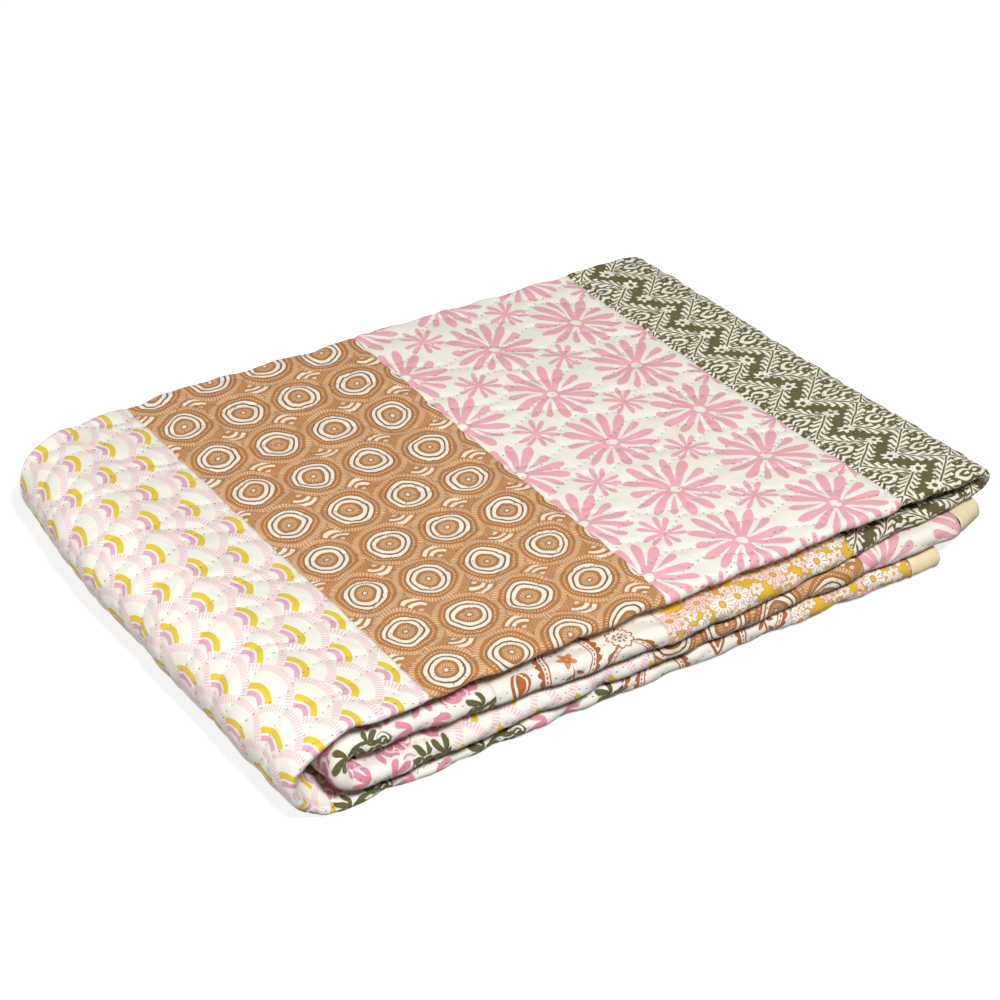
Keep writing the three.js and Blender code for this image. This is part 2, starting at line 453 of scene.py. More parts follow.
# The finish of washed plain-weave cotton: the sizes of its threads and slubs in millimetres, and its shares
THREADS = dict(pitch=0.62, height=0.03)
SLUBS = dict(size=1.1, detail=5.0, height=0.25)
FADING = dict(most=0.12, least=-0.042)
ROUGHNESS = dict(least=0.78, more=0.16)
WEAVE_BUMP = 0.55
DRY_SHEEN = {"Sheen Weight": 0.10, "Sheen Roughness": 0.5, "Specular IOR Level": 0.2}


def finish_cloth(tree, shader, place, colour):
    """Gives a printed colour the finish of washed plain-weave cotton: slight fading, dry sheen, threads and slubs."""
    amount = Ink(tree, noise_at(tree, place, SLUBS["size"], SLUBS["detail"]).outputs["Fac"])
    faded = amount.sum("MULTIPLY_ADD", amount, FADING["most"], FADING["least"], clamp=True)
    worn = paint(tree, colour, faded, dye(250, 247, 238))
    tree.links.new(worn, shader.inputs["Base Color"])
    rough = amount.sum("MULTIPLY_ADD", amount, ROUGHNESS["more"], ROUGHNESS["least"])
    tree.links.new(rough.socket, shader.inputs["Roughness"])
    split = tree.nodes.new("ShaderNodeSeparateXYZ")
    tree.links.new(place, split.inputs[0])
    turns = 2 * np.pi / THREADS["pitch"]
    weave = (Ink(tree, split.outputs["X"]) * turns).wave() * (Ink(tree, split.outputs["Y"]) * turns).wave()
    height = weave * THREADS["height"] + amount * SLUBS["height"]
    bump = tree.nodes.new("ShaderNodeBump")
    bump.inputs["Strength"].default_value = WEAVE_BUMP
    bump.inputs["Distance"].default_value = MM
    tree.links.new(height.socket, bump.inputs["Height"])
    tree.links.new(bump.outputs["Normal"], shader.inputs["Normal"])
    for socket, value in DRY_SHEEN.items():
        shader.inputs[socket].default_value = value


# The plain cotton on the reverse of the strips, seen only between the layers
reverse_cotton, tree, shader, place, u, v = start_cloth("reverse_cotton")
slub = Ink(tree, noise_at(tree, place, 4.0, 2.0).outputs["Fac"])
finish_cloth(tree, shader, place, paint(tree, dye(238, 230, 212), slub, dye(226, 216, 194)))

OFF_WHITE = dye(238, 234, 223)


def print_clamshell(tree, u, v):
    """Rows of overlapping scales with a pink and a yellow arc in each and a rim of pale pink ticks."""
    column, row, radius = 12.45, 55.6, 27.75
    pink_arc, yellow_arc, rim, rim_ticks = (6.2, 9.3), (10.6, 14.4), (22.8, 27.3), 82
    first = ((u - radius) / column).floor() + 1
    owner_u, owner_v = None, None
    for step in (3, 2, 1, 0):
        number = first + step
        du = u - number * column
        dv = (v - number.odd() * (row / 2)).repeat(row)
        if owner_u is None:
            owner_u, owner_v = du, dv
            continue
        inside = du.away(dv).under(radius, 0.2)
        owner_u, owner_v = inside.pick(du, owner_u), inside.pick(dv, owner_v)
    r = owner_u.away(owner_v)
    ticks = (owner_v.angle(owner_u) * rim_ticks).ticks()
    return paint_over(
        tree, OFF_WHITE,
        (r.between(*rim, 0.8) * ticks * 0.85, dye(232, 176, 190)),
        (r.between(*pink_arc), dye(222, 162, 184)),
        (r.between(*yellow_arc), dye(224, 192, 44)))


def print_ring(tree, u, v):
    """Ochre ground with rows of uneven double rings, ticked circles round them and small fans between."""
    pitch_u, pitch_v, slip = 36.6, 41.0, 5.6
    ochre, cream, tan, line = dye(176, 114, 56), dye(245, 229, 207), dye(232, 198, 154), dye(116, 84, 56)
    halo, dots, lined, rings, rays = (17.4, 20.4), (14.5, 15.4), (6.6, 13.5), ((10.8, 12.9), (7.2, 9.6)), (2.4, 5.2)
    fan_reach, fan_rim, fan_arcs, fan_half = 17.8, (13.4, 17.2), ((9.3, 11.7), (5.4, 7.6)), 0.98
    column = u.cell(pitch_u)
    du = u.repeat(pitch_u)
    dv = (v + column * slip).repeat(pitch_v)
    r = du.away(dv)
    angle = dv.angle(du)
    hatch = (u * 3.4 + (v * 0.9).wave() * 1.5).ticks()
    gap_column = (u - pitch_u / 2).cell(pitch_u)
    gu = (u - pitch_u / 2).repeat(pitch_u)
    level = v + gap_column * slip + (slip - pitch_v) / 2
    gv = level.repeat(pitch_v)
    up = (gap_column + level.cell(pitch_v)).odd() * 2 - 1
    fan_v = gv * up + 5.5
    fan = gu.away(fan_v)
    fan_angle = gu.angle(fan_v)
    fan_ticks = (fan_angle * 48).ticks()
    sector = abs(fan_angle).under(fan_half, 0.08)
    arcs = fan.between(*fan_arcs[0]).most(fan.between(*fan_arcs[1])).most(fan.under(2.6) * 0.7)
    return paint_over(
        tree, ochre,
        (hatch * 0.28, tan),
        (fan.under(fan_reach, 0.4) * sector, ochre),
        (fan.between(*fan_rim, 0.5) * fan_ticks * sector * 0.65, tan),
        (arcs * abs(fan_angle).under(fan_half - 0.12, 0.08), cream),
        (r.under(halo[1], 0.4), ochre),
        (r.between(*halo, 0.5) * ((angle * 66).wave() * 0.35 + 0.50), tan),
        (r.between(*dots) * (angle * 50).wave().under(0.0, 0.8) * 0.9, tan),
        (r.between(*lined, 0.5), line),
        *((r.between(*ring), cream) for ring in rings),
        (r.under(6.7), ochre),
        (r.between(*rays, 0.5) * (angle * 18).wave().under(0.0, 0.9) * 0.8, tan),
        (r.under(1.1, 0.8), cream))


def petal(r, turn, start, end, half):
    """A petal from the middle outwards, round at its end. Returns how far the point is outside it."""
    out = (r * turn.wave() - start) / (end - start)
    across = abs(r * (turn - np.pi / 2).wave()) / half
    round_end = across.away(((out - 0.70) / 0.30).most(0.0)) - 1.0
    return round_end.most(across - out * 0.80 - 0.44) * half


def daisy(u, v, reach, half, lean, drop):
    """Five pairs of long petals, with a drop between the pairs where it has one. The upper petals are longer."""
    fifth = 2 * np.pi / 5
    tall = v.least(v * 0.84)
    r = u.away(tall)
    turn = abs((u.angle(tall) + fifth / 2).repeat(fifth))
    edge = petal(r, turn - lean, reach * 0.14, reach, half)
    if drop:
        edge = edge.least(petal(r, turn - fifth / 2, reach * 0.50, reach * 0.93, drop))
    return edge.under(0.0, 0.35)


def print_daisy(tree, u, v):
    """Large pink daisies in even rows on off-white, with a small thin flower in each gap."""
    pitch_u, pitch_v = 65.0, 62.6
    pink = dye(232, 166, 177)
    du, dv = u.repeat(pitch_u), v.repeat(pitch_v)
    large = daisy(du, dv, reach=28.5, half=3.0, lean=0.21, drop=2.5)
    r = du.away(dv)
    gu, gv = (u - pitch_u / 2).repeat(pitch_u), (v - pitch_v / 2).repeat(pitch_v)
    small = daisy(gu, gv, reach=14.2, half=1.7, lean=0.25, drop=None)
    return paint_over(tree, OFF_WHITE, (large.most(small), pink), (r.under(5.2), pink), (r.under(3.3), OFF_WHITE))


def print_damask(tree, u, v):
    """Olive ground with diamonds of white scrolled leaf bands, a star at each side corner, a drop in the middle."""
    pitch, half_u, half_v = 46.6, 20.7, 19.2
    band_middle, heart, stars = 1.05, 0.60, ((20.9, half_v), (25.7, 0.0))
    olive, white = dye(92, 84, 37), dye(236, 232, 214)
    column = u.cell(pitch)
    a = abs(u.repeat(pitch))
    b = abs((v + column.odd() * half_v).repeat(2 * half_v))
    rim = a / half_u + b / half_v
    run = a / half_u - b / half_v
    side = abs(rim - band_middle)
    band = side.under(run * run * -0.20 + 0.35 + (run * 19).wave() * 0.08, 0.03)
    veins = side.under(0.04, 0.03).most(
        (run * 17 + side * 24).wave().under(-0.30, 0.5) * side.between(0.08, 0.30, 0.04))
    r, angle = (a * 0.9).away(b), b.angle(a)
    curls = (angle * 6 + r * 1.05).wave().under(-0.10, 0.5)
    layers = [(band, white), (band * veins, olive), (curls * rim.under(heart, 0.03), white), (r.under(1.3, 0.4), olive)]
    for place_u, place_v in stars:
        su, sv = abs(a - place_u), abs(b - place_v)
        star, way = su.away(sv), sv.angle(su)
        layers += [(star.under((way * 6).wave() * 1.2 + 4.1), white), (star.under(1.6), olive)]
    return paint_over(tree, olive, *layers)


def comma(u, v, way, length, half, bend):
    """A pointed leaf along a direction, bent to one side. Returns how much of the point it covers."""
    cos, sin = float(np.cos(way)), float(np.sin(way))
    t = (u * cos + v * sin) / (length / 2)
    across = abs(v * cos - u * sin - t * t * bend + bend * 0.4)
    return (across + t * t * half).under(half, 0.35)


def leaf(u, v, way, start, end, half, bend):
    """An egg-shaped leaf along a direction, bent to one side. Returns how far the point is outside it."""
    cos, sin, long = float(np.cos(way)), float(np.sin(way)), (end - start) / 2
    t = u.sum("MULTIPLY_ADD", u, cos / long, v.sum("MULTIPLY_ADD", v, sin / long, -(start + end) / 2 / long))
    across = u.sum("MULTIPLY_ADD", u, -sin / half, v * (cos / half)) + t * t * bend
    across = across * t.sum("MULTIPLY_ADD", t, -0.40, 1.2)
    return t.away(across) * half - half


def spray(u, v, way, reach, half, bend):
    """Three leaves that spread from one foot. Returns how far the point is outside them."""
    edge = leaf(u, v, way, reach * 0.05, reach, half, bend)
    for lean in (-0.80, 0.80):
        edge = edge.least(leaf(u, v, way + lean, reach * 0.05, reach * 0.82, half * 0.85, lean * 0.5))
    return edge


def scroll(u, v, size, turn_way):
    """A curl of one and a half turns. Returns how much of the point it covers."""
    r = u.away(v)
    angle = (v * turn_way).angle(u) / (2 * np.pi)
    arm = abs((r / size - angle).repeat(1.0)) * size
    return arm.under(size * 0.24, 0.4) * r.between(size * 0.25, size * 1.75, 0.4)


def half_drop(u, v, place, pitch_u, pitch_v):
    """Place round the nearest motif of a repeat in which every second column is half a step lower."""
    across = u - place[0]
    column = across.cell(pitch_u)
    return across.repeat(pitch_u), (v - place[1] + column * (pitch_v / 2)).repeat(pitch_v)


def print_scroll(tree, u, v):
    """Off-white thickly covered with lobed rose leaves, and dark olive scrolls with leaves between them."""
    pitch = (42.0, 54.0)
    rose, green = dye(220, 136, 158), dye(92, 88, 42)
    # Foot, direction, reach, half width and bend of each spray
    rose_sprays = (
        ((-2, 9), 1.0, 15, 2.8, 0.2), ((-16, 10), 2.0, 13, 2.6, -0.2), ((18, 8), 0.4, 14, 2.7, 0.2),
        ((-6, -9), -2.4, 13, 2.6, 0.2), ((8, -9), -0.9, 14, 2.7, -0.2), ((20, -5), -1.4, 12, 2.5, 0.2),
        ((-3, 27), 2.6, 13, 2.6, 0.2), ((9, 25), 0.3, 13, 2.6, -0.2))
    green_sprays = (
        ((-9, -2), 2.0, 13, 2.3, -0.2), ((1, -2), 1.3, 14, 2.4, 0.2), ((7, 1), -0.5, 12, 2.2, 0.2),
        ((-5, -1), -2.3, 10, 2.0, 0.2))
    layers = [(scroll(*half_drop(u, v, (-20, 3), *pitch), 2.8, 1), rose)]
    for dye_of_leaf, sprays in ((rose, rose_sprays), (green, green_sprays)):
        for place, way, reach, half, bend in sprays:
            edge = spray(*half_drop(u, v, place, *pitch), way, reach, half, bend)
            layers += [(edge.under(0.8, 0.35), OFF_WHITE), (edge.under(0.0, 0.35), dye_of_leaf)]
    stem = scroll(*half_drop(u, v, (14, 4), *pitch), 2.8, -1).most(
        scroll(*half_drop(u, v, (-15, -1), *pitch), 2.6, 1)).most(
        comma(*half_drop(u, v, (0, 0), *pitch), 0.3, 28, 1.3, 4.5))
    return paint_over(tree, OFF_WHITE, *layers, (stem, green))


def print_paisley(tree, u, v):
    """Off-white with rust drops: a scalloped edge, a dotted border and a small flower in each, suns between."""
    pitch_u, pitch_v = 110.0, 68.0
    rust, light = dye(172, 96, 38), dye(206, 140, 84)
    # Place, size and bend of each drop, and whether it is a large one with borders and a flower
    drops = ((0, 0, 60, -16, True), (-41, 22, 60, 14, True), (31, 1, 19, -4, False))
    suns = ((31, 34), (-36, -8), (22, -27))
    sprig_leaves = (((-5, 10), 2.6), ((1.5, 12), 0.7), ((-5.5, 16), 2.5), ((0.5, 18), 0.8))
    row = v.cell(pitch_v)
    dv = v.repeat(pitch_v)
    across = u + row * (pitch_u / 2)
    layers = []
    for place_u, place_v, size, bend, large in drops:
        du = (across - place_u).repeat(pitch_u)
        t = (dv - place_v) / size + 0.42
        inside = t.between(0.0, 1.0, 0.01)
        t = t.most(0.0001)
        bent = du + (t * t) * bend - bend * 0.2
        half = t.root() * (1.0 - t).most(0.0) * (size * 0.78)
        gap = half.most(0.05) - abs(bent)
        outside = gap * -1
        if not large:
            layers += [(outside.under(0.8, 0.4) * inside, rust), (gap.between(1.2, 2.6) * inside, OFF_WHITE)]
            continue
        beads = abs((t * (size * 0.62)).wave())
        dashes = (t * size * 2.4).wave().under(0.3, 0.6)
        fu, fv = du, dv - place_v + size * 0.10
        fr, fa = fu.away(fv), fv.angle(fu)
        sprig = comma(fu + 2, fv - 13, way=1.75, length=17, half=0.7, bend=1.5)
        for place, way in sprig_leaves:
            sprig = sprig.most(comma(fu - place[0], fv - place[1], way, length=6.5, half=1.4, bend=0.5))
        layers += [
            (outside.under(beads * 2.0 + 0.2, 0.4) * inside, rust), (outside.under(-1.6, 0.4) * inside, OFF_WHITE),
            (gap.between(2.4, 3.4) * dashes * inside, rust), (gap.between(4.3, 5.1) * inside, rust),
            (fr.under((fa * 5).wave() * 1.3 + 4.6), light), (fr.between(1.5, 2.2), rust), (sprig, rust)]
    for place_u, place_v in suns:
        gu, gv = (across - place_u).repeat(pitch_u), (dv - place_v).repeat(pitch_v)
        sr, sa = gu.away(gv), gv.angle(gu)
        petals = abs((sa * 5).wave()) * 1.6
        layers += [
            (sr.under(petals + 6.6), rust), (sr.under(petals + 5.6), OFF_WHITE),
            (sr.between(2.6, 4.2) * (sa * 9).wave().under(0.3, 0.6), rust), (sr.under(1.3), rust)]
    return paint_over(tree, OFF_WHITE, *layers)


def blossoms(tree, u, v, size, petals, shift):
    """Flowers set close together at random: distance to their rim and middle, their veins, a number for each."""
    join = tree.nodes.new("ShaderNodeCombineXYZ")
    tree.links.new((u / size + shift).socket, join.inputs["X"])
    tree.links.new((v / size).socket, join.inputs["Y"])
    cells = tree.nodes.new("ShaderNodeTexVoronoi")
    cells.voronoi_dimensions = "2D"
    cells.inputs["Scale"].default_value = 1.0
    cells.inputs["Randomness"].default_value = 0.75
    tree.links.new(join.outputs[0], cells.inputs["Vector"])
    middle = tree.nodes.new("ShaderNodeVectorMath")
    middle.operation = "SUBTRACT"
    tree.links.new(join.outputs[0], middle.inputs[0])
    tree.links.new(cells.outputs["Position"], middle.inputs[1])
    split = tree.nodes.new("ShaderNodeSeparateXYZ")
    tree.links.new(middle.outputs["Vector"], split.inputs[0])
    du, dv = Ink(tree, split.outputs["X"]) * size, Ink(tree, split.outputs["Y"]) * size
    tint = tree.nodes.new("ShaderNodeSeparateXYZ")
    tree.links.new(cells.outputs["Color"], tint.inputs[0])
    number = Ink(tree, tint.outputs["X"])
    r, angle = du.away(dv), dv.angle(du) + number * 6.0
    rim = r - abs((angle * (petals / 2)).wave()) * (size * 0.16)
    veins = (angle * petals * 2).wave().under(-0.82, 0.2) * r.between(size * 0.16, size * 0.36, 0.5)
    return rim, r, veins, number


def print_blossom(tree, u, v):
    """Mustard ground packed with white and pale pink flowers in fine brown outline."""
    mustard, line, middle = dye(224, 180, 34), dye(186, 128, 96), dye(222, 176, 44)
    layers = []
    for size, petals, shift in ((9.0, 6, 3.3), (18.5, 7, 0.0)):
        rim, r, veins, number = blossoms(tree, u, v, size, petals, shift)
        cover = rim.under(size * 0.29, 0.3)
        flower = paint(tree, dye(248, 238, 228), number.under(0.35, 0.02), dye(244, 212, 206))
        layers += [
            (rim.under(size * 0.29 + 0.5, 0.3), line), (cover, flower), (veins * cover, line),
            (r.under(size * 0.12, 0.3), line), (r.under(size * 0.09, 0.3), middle)]
    return paint_over(tree, mustard, *layers)


# How each print is drawn, and how unsteady its line is
PRINTS = dict(
    blossom=dict(draw=print_blossom, wobble=0.4, wobble_size=8),
    paisley=dict(draw=print_paisley, wobble=0.4, wobble_size=9),
    scroll=dict(draw=print_scroll, wobble=0.5, wobble_size=9),
    clamshell=dict(draw=print_clamshell, wobble=0.25, wobble_size=14),
    ring=dict(draw=print_ring, wobble=0.65, wobble_size=13),
    daisy=dict(draw=print_daisy, wobble=0.45, wobble_size=13),
    damask=dict(draw=print_damask, wobble=0.3, wobble_size=8),
)
cloth_of = {}
for print_name, how in PRINTS.items():
    material, tree, shader, place, u, v = start_cloth(
        "printed_cotton_" + print_name, how["wobble"], how["wobble_size"])
    finish_cloth(tree, shader, place, how["draw"](tree, u, v))
    cloth_of[print_name] = material

# The stitch rows are set out on the flat cloth before the strips are made. They wander like a loose meander, and
# only the stitches on the top, on the front folds and on the back folds are kept, since the others are hidden.
ROW_PITCH = 17.5
ROW_OVERRUN = 40
STITCH_PITCH = 4.7
WALK_STEP = 0.5
MEANDER = dict(turn=47.0, swing=5.0, overhang=2.5, drift=3.0, drift_length=211.0, sway=0.6, sway_length=83,
               row_shift=2.4, drift_shift=1.7)
END_MARGIN = 1.5
TOP_FROM = 370
TOP_TO = 905
FRONT_REACH = 34
FACE_TO_BACK = 352
BACK_REACH = 300


def stitch_rows():
    """Stitch places on the cloth: how far along it, how far from the front fold, and the row's direction there."""
    places = []
    count = int(FACE_TO_BACK / ROW_PITCH) + 1
    for row in range(-count, count + 1):
        walk = np.arange(-ROW_OVERRUN, CLOTH_LENGTH + ROW_OVERRUN, WALK_STEP)
        sway = MEANDER["sway"] * np.sin(walk / MEANDER["sway_length"] + row)
        phase = 2 * np.pi * walk / MEANDER["turn"] + MEANDER["row_shift"] * row + sway
        s = walk + MEANDER["overhang"] * np.sin(2 * phase)
        v = row * ROW_PITCH + MEANDER["swing"] * np.sin(phase)
        drift = 2 * np.pi * walk / MEANDER["drift_length"] + MEANDER["drift_shift"] * row
        v = v + MEANDER["drift"] * np.sin(drift)
        run = np.concatenate([[0], np.cumsum(np.hypot(np.diff(s), np.diff(v)))])
        at = np.arange(0, run[-1], STITCH_PITCH)
        s, v = np.interp(at, run, s), np.interp(at, run, v)
        way = np.arctan2(np.gradient(v), np.gradient(s))
        places.append(np.stack([s, v, way], -1))
    places = np.concatenate(places)
    s, v = places[:, 0], places[:, 1]
    on_top = (s > TOP_FROM) & (s < TOP_TO) & (v > -FRONT_REACH) & (v < FACE_TO_BACK)
    at_front = abs(v) < FRONT_REACH
    at_back = abs(v) > BACK_REACH
    on_cloth = (s > END_MARGIN) & (s < CLOTH_LENGTH - END_MARGIN)
    return places[on_cloth & (on_top | at_front | at_back)]


STITCHES = stitch_rows()
stitch_tree = KDTree(len(STITCHES))
for number, (s, v, _) in enumerate(STITCHES):
    stitch_tree.insert((s, v, 0), number)
stitch_tree.balance()

# The strips from the lower end to the upper end: how far along the cloth each ends, which edge its print is
# counted from, where the print starts, and the strips that it lies on
STRIPS = [
    dict(cloth="blossom", to=81.6, counted="start", print_at=(0, 0), lies_on=()),
    dict(cloth="paisley", to=196.9, counted="start", print_at=(-20, 10), lies_on=()),
    dict(cloth="scroll", to=379.5, counted="start", print_at=(0, 0), lies_on=()),
    dict(cloth="clamshell", to=506.5, counted="end", print_at=(17.3, -86), lies_on=(10,)),
    dict(cloth="ring", to=660.5, counted="start", print_at=(-18.8, -13.7), lies_on=(9, 10)),
    dict(cloth="daisy", to=823.0, counted="start", print_at=(-1.4, -21.3), lies_on=(8, 9)),
    dict(cloth="damask", to=985.0, counted="start", print_at=(-3.5, -24), lies_on=(8,)),
    dict(cloth="blossom", to=1116.9, counted="start", print_at=(0, 0), lies_on=(12, 13)),
    dict(cloth="paisley", to=1226.6, counted="end", print_at=(47, 4), lies_on=(11, 12)),
    dict(cloth="scroll", to=1396.5, counted="start", print_at=(0, 0), lies_on=(3,)),
    dict(cloth="clamshell", to=1529.7, counted="start", print_at=(3, 9.5), lies_on=(2, 3)),
    dict(cloth="ring", to=1673.7, counted="start", print_at=(-13, -9), lies_on=(1, 2)),
    dict(cloth="daisy", to=CLOTH_LENGTH, counted="start", print_at=(-13, 5), lies_on=(1,)),
]
SEAM_GAP = 0.03
SEAM = dict(depth=0.55, reach=2.4)
DIMPLE = dict(depth=0.7, reach=2.3, puff=0.6, puff_reach=7.0)
CRINKLE = dict(size=11.0, height=0.35, fine_size=4.6, fine_height=0.16, seed=1)
RELIEF_ENDS = 40
RELIEF_FADES = 20

# The strips on the packet's top have a fine mesh all over their face, the others only at the folds. The reverse
# has every fourth row and column.
TOP_STRIPS = (3, 4, 5, 6)
FINE_STEP = 1.25
SIDE_STEP = 1.7
REVERSE_EVERY = 4
inner_shares = np.linspace(0, 1, 4)
back_shares = np.linspace(0, 1, 9)
front_shares = np.linspace(0, 1, 23)
hidden_shares = graded(ends=26, step=1.6, between=8)
FINE_COLUMNS, SIDE_COLUMNS = (
    columns_of([inner_shares, back_shares, face_shares, front_shares, hidden_shares, back_shares, inner_shares])
    for face_shares in (np.linspace(0, 1, 253), hidden_shares))


def relief_of(s, v, first, last):
    """How far the printed face stands off its even place: dimples at the stitches, seams at the edges, crinkles."""
    away = np.array([stitch_tree.find((a, b, 0))[2] for a, b in zip(s.ravel(), v.ravel())]).reshape(s.shape)
    near = np.exp(-(away / DIMPLE["reach"]) ** 2)
    puff = DIMPLE["puff"] * (1 - np.exp(-(away / DIMPLE["puff_reach"]) ** 2))
    shown = np.clip((RELIEF_ENDS - away) / RELIEF_FADES, 0, 1)
    seam = SEAM["depth"] * np.exp(-(np.minimum(s - first, last - s) / SEAM["reach"]) ** 2)
    return shown * (puff - DIMPLE["depth"] * near + uneven(s, v, CRINKLE)) - seam


def sparse(count, every):
    """Every so many of a count of rows, with the last one kept."""
    return np.unique(np.append(np.arange(0, count, every), count - 1))


printed_faces = []
strip_pieces = []
strip_start = 0.0
for number, strip in enumerate(STRIPS):
    fine = number in TOP_STRIPS
    columns = FINE_COLUMNS if fine else SIDE_COLUMNS
    first, last = strip_start + SEAM_GAP, strip["to"] - SEAM_GAP
    s = np.linspace(first, last, int((last - first) / (FINE_STEP if fine else SIDE_STEP)) + 1)
    stations = stations_at(s)
    even = cloth_points(stations, columns, CLOTH_THICKNESS / 2)
    v = lengths_along(even, 1)
    width = float(np.mean(v[:, -1]))
    apex, face_middle = (np.argmin(np.abs(columns[0] + columns[1] - (part + 0.5))) for part in (FRONT_FOLD, FACE))
    v = v[:, apex:apex + 1] - v
    measured = face_middle if fine else apex
    u = np.broadcast_to(lengths_along(even, 0)[:, measured:measured + 1], v.shape)
    if strip["counted"] == "end":
        u = u - u[-1:]
    relief = relief_of(np.broadcast_to(s[:, None], v.shape), v, first, last)
    outer = cloth_points(stations, columns, CLOTH_THICKNESS / 2 + relief)
    inner = cloth_points(stations, columns, -CLOTH_THICKNESS / 2)
    name = f"strip_{number + 1:02d}_{strip['cloth']}"
    chart = (u + strip["print_at"][0], v + strip["print_at"][1])
    piece = make_slab(name, outer, inner, sparse(len(s), REVERSE_EVERY), sparse(len(columns[0]), REVERSE_EVERY),
                      chart, [cloth_of[strip["cloth"]], reverse_cotton])
    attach(piece, "root")
    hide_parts("quilt")
    strip_pieces.append(piece)
    printed_faces.append(dict(first=first, last=last, s=s, v=v, points=outer, width=width))
    strip_start = strip["to"]

# Running stitches
# Cotton sewing thread through all the layers of each strip. Each stitch is a short bar of thread that lies in its
# dimple, with both ends sunk into the cloth.
STITCH = dict(half_length=1.35, half_width=0.50, rise=0.30, sunk=0.10, off_seam=1)
BAR_FACES = ((0, 2, 4), (2, 1, 4), (1, 3, 4), (3, 0, 4), (2, 0, 5), (1, 2, 5), (3, 1, 5), (0, 3, 5))
# Tone of the thread: lighter and darker at random along it, and on the whole darker than the thread's own colour, as
# painted shade of the stitch holes
PLY_SCALE = 500
THREAD_TONE_AND_HOLE_SHADE = dict(spread=3.0, start=-1.15)


def thread_bars():
    """Corner points and faces of all stitches, each on the printed face where it was sewn."""
    points, faces = [], []
    for face in printed_faces:
        s, v, grid = face["s"], face["v"], face["points"]
        step = s[1] - s[0]
        low, high = face["first"] + STITCH["off_seam"], face["last"] - STITCH["off_seam"]
        for at_s, at_v, way in STITCHES[(STITCHES[:, 0] > low) & (STITCHES[:, 0] < high)]:
            row = min(int((at_s - s[0]) / step), len(s) - 2)
            share = (at_s - s[row]) / step
            line_v = v[row][::-1]
            if not line_v[0] < at_v < line_v[-1]:
                continue
            column = int(np.clip(len(line_v) - 1 - np.searchsorted(line_v, at_v), 0, len(line_v) - 2))
            across = (v[row, column] - at_v) / (v[row, column] - v[row, column + 1])
            a, b = grid[row, column], grid[row, column + 1]
            c, d = grid[row + 1, column], grid[row + 1, column + 1]
            middle = (a * (1 - across) + b * across) * (1 - share) + (c * (1 - across) + d * across) * share
            along_u = (c - a) / np.linalg.norm(c - a)
            along_v = (a - b) / np.linalg.norm(a - b)
            up = np.cross(along_u, along_v)
            up = up / np.linalg.norm(up)
            length = along_u * np.cos(way) + along_v * np.sin(way)
            width = np.cross(up, length)
            sunk = middle - up * STITCH["sunk"]
            start = len(points)
            points += [sunk - length * STITCH["half_length"], sunk + length * STITCH["half_length"],
                       sunk - width * STITCH["half_width"], sunk + width * STITCH["half_width"],
                       middle + up * STITCH["rise"], sunk - up * STITCH["rise"]]
            faces += [(start + i, start + j, start + k) for i, j, k in BAR_FACES]
    return np.array(points), faces


thread_points, thread_faces = thread_bars()
thread_mesh = bpy.data.meshes.new("running_stitch")
thread_mesh.from_pydata(((thread_points - PACKET_MIDDLE) * MM).tolist(), [], thread_faces)
running_stitch = bpy.data.objects.new("running_stitch", thread_mesh)
bpy.context.scene.collection.objects.link(running_stitch)
sewing_thread = bpy.data.materials.new("sewing_thread")
sewing_thread.use_nodes = True
tree = sewing_thread.node_tree
shader = tree.nodes["Principled BSDF"]
places = tree.nodes.new("ShaderNodeTexCoord")
ply = tree.nodes.new("ShaderNodeTexNoise")
ply.inputs["Scale"].default_value = PLY_SCALE
tree.links.new(places.outputs["Object"], ply.inputs["Vector"])
thread_tone_and_hole_shade = Ink(tree, ply.outputs["Fac"])
thread_tone_and_hole_shade = thread_tone_and_hole_shade.sum("MULTIPLY_ADD", thread_tone_and_hole_shade, THREAD_TONE_AND_HOLE_SHADE["spread"], THREAD_TONE_AND_HOLE_SHADE["start"], clamp=True)
# The thread is painted a darker grey than its own colour, as painted shade of the stitch holes, and varies at random
# along it
tree.links.new(paint(tree, dye(66, 62, 48), thread_tone_and_hole_shade, dye(172, 166, 148)), shader.inputs["Base Color"])
shader.inputs["Roughness"].default_value = 0.7
thread_mesh.materials.append(sewing_thread)
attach(running_stitch, "root")
for piece, face, strip in zip(strip_pieces, printed_faces, STRIPS):
    (face["last"] - face["first"]) * MM
    face["width"] * MM
    [strip_pieces[below - 1].name for below in strip["lies_on"]]

# End bindings
# A plain cream cotton strip folded over the raw edge of each end and sewn down on both sides. It is one thin
# strip that goes along the printed side, round the edge and back along the other side.
BINDING_WIDTH = 21
BINDING_HALF = 1.45
BINDING_CLOTH = 0.5
PIECE_GAP = 0.3
PUCKER = dict(height=0.4, along=7, across=4, seed=4)
HEM = dict(place=2.5, reach=1.1, depth=0.35)
BINDINGS = [
    dict(node="binding_lower_end", at=0.0, corner_setback=1, turned=True, sewn_to=0),
    dict(node="binding_upper_end", at=CLOTH_LENGTH, corner_setback=9, turned=False, sewn_to=12),
]
binding_cotton, tree, shader, place, u, v = start_cloth("binding_cotton")
shade = Ink(tree, noise_at(tree, place, 8.0, 2.0).outputs["Fac"])
finish_cloth(tree, shader, place, paint(tree, dye(236, 224, 184), shade, dye(226, 210, 166)))


def binding_profile(steps=9, round_steps=8):
    """The strip's way over the edge: how far out it is and how far off the middle, from one side to the other."""
    flat = BINDING_WIDTH - BINDING_HALF
    out = np.linspace(0, flat, steps)
    turn = np.linspace(0, np.pi, round_steps + 1)[1:-1]
    away = np.concatenate([out, flat + BINDING_HALF * np.sin(turn), out[::-1]])
    off = np.concatenate([np.full(steps, 1.0), np.cos(turn), np.full(steps, -1.0)])
    return away, off


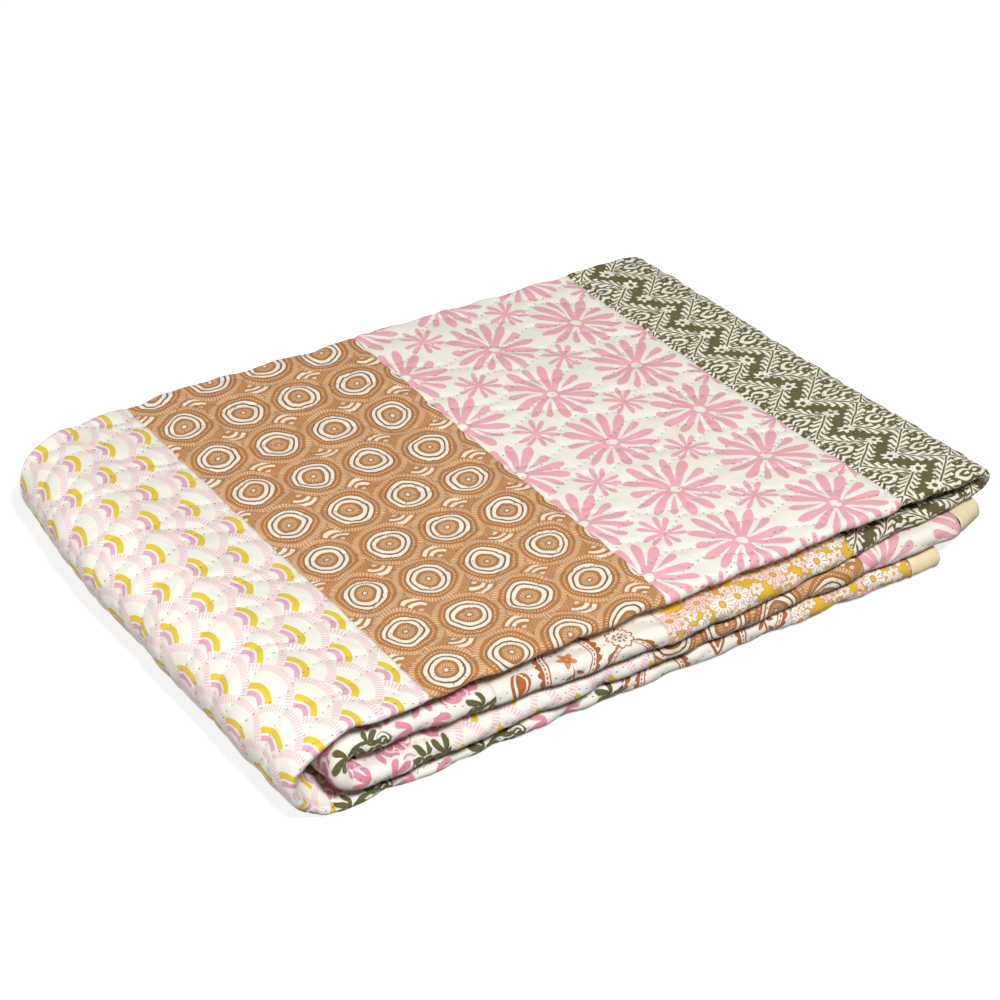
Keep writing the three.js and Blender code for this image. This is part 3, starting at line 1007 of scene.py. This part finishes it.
for binding in BINDINGS:
    away, off = binding_profile()
    stations = np.repeat(stations_at(np.array([binding["at"]])), len(away), 0)
    stations[:, X] += PIECE_GAP + away
    stations[:, FRONT] -= binding["corner_setback"] * away / BINDING_WIDTH
    out, across = away[:, None], np.arange(len(SIDE_COLUMNS[0]))[None]
    pucker = PUCKER["height"] * soft_noise(out / PUCKER["along"], across / PUCKER["across"], PUCKER["seed"])
    hem = np.exp(-((out - HEM["place"]) / HEM["reach"]) ** 2) * HEM["depth"]
    outer = cloth_points(stations, SIDE_COLUMNS, off[:, None] * (BINDING_HALF + pucker - hem))
    stations[:, X] -= BINDING_CLOTH * np.sqrt(np.maximum(0, 1 - off ** 2))
    inner = cloth_points(stations, SIDE_COLUMNS, off[:, None] * (BINDING_HALF - BINDING_CLOTH + pucker - hem))
    if binding["turned"]:
        outer, inner = outer[::-1], inner[::-1]
    width = float(np.mean(lengths_along(outer, 1)[:, -1]))
    piece = make_slab(binding["node"] + "_cloth", outer, inner, np.arange(len(outer)), np.arange(outer.shape[1]),
                      (lengths_along(outer, 0), lengths_along(outer, 1)), [binding_cotton])
    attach(piece, "root")
    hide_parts(binding["node"])

# Floor, light and camera
# A plain white studio floor, three soft lamps, and the camera where the picture was taken from. The floor throws
# no light back up, so that the gaps between the folds stay dark.
FLOOR_SIZE = 14
FLOOR_DROP = 0.0010
FLOOR_PAPER = {"Base Color": (0.5, 0.5, 0.5, 1), "Emission Color": (1, 1, 1, 1), "Emission Strength": 0.75,
               "Roughness": 0.9}
bpy.ops.object.select_all(action="DESELECT")
bpy.ops.mesh.primitive_plane_add(size=FLOOR_SIZE, location=(0, 0, -FLOOR_DROP))
floor = bpy.context.object
floor.name = "studio_floor"
floor_paper = bpy.data.materials.new("floor_paper")
floor_paper.use_nodes = True
for socket, value in FLOOR_PAPER.items():
    floor_paper.node_tree.nodes["Principled BSDF"].inputs[socket].default_value = value
floor.data.materials.append(floor_paper)
floor.visible_diffuse = False

ROOM_LIGHT = 0.05
world = bpy.data.worlds.new("studio")
bpy.context.scene.world = world
world.use_nodes = True
world.node_tree.nodes["Background"].inputs["Color"].default_value = (1, 1, 1, 1)
world.node_tree.nodes["Background"].inputs["Strength"].default_value = ROOM_LIGHT
LAMPS_AIM = Vector((0, 0, 0.03))
LAMPS = [
    dict(name="key", place=(-0.45, -1.6, 1.9), size=0.42, power=66),
    dict(name="left", place=(-2.0, 0.1, 0.42), size=0.8, power=20),
    dict(name="back", place=(1.6, 1.3, 0.9), size=0.9, power=12),
]
for lamp in LAMPS:
    light = bpy.data.lights.new(lamp["name"], "AREA")
    light.size = lamp["size"]
    light.energy = lamp["power"]
    holder = bpy.data.objects.new(lamp["name"], light)
    holder.location = lamp["place"]
    holder.rotation_euler = (LAMPS_AIM - Vector(lamp["place"])).to_track_quat("-Z", "Y").to_euler()
    bpy.context.scene.collection.objects.link(holder)

CAMERA = dict(elevation=33.25, azimuth=-33.35, distance=1.8624, lens=115.2, sensor=36,
              target=(-0.0006, -0.0034, 0.0354))
tilt, turn = np.radians(CAMERA["elevation"]), np.radians(CAMERA["azimuth"])
backwards = Vector((np.sin(turn) * np.cos(tilt), -np.cos(turn) * np.cos(tilt), np.sin(tilt)))
camera = bpy.data.objects.new("camera", bpy.data.cameras.new("camera"))
camera.data.lens = CAMERA["lens"]
camera.data.sensor_width = CAMERA["sensor"]
camera.location = Vector(CAMERA["target"]) + backwards * CAMERA["distance"]
camera.rotation_euler = backwards.to_track_quat("Z", "Y").to_euler()
bpy.context.scene.collection.objects.link(camera)
bpy.context.scene.camera = camera
bpy.context.scene.view_settings.view_transform = "Standard"
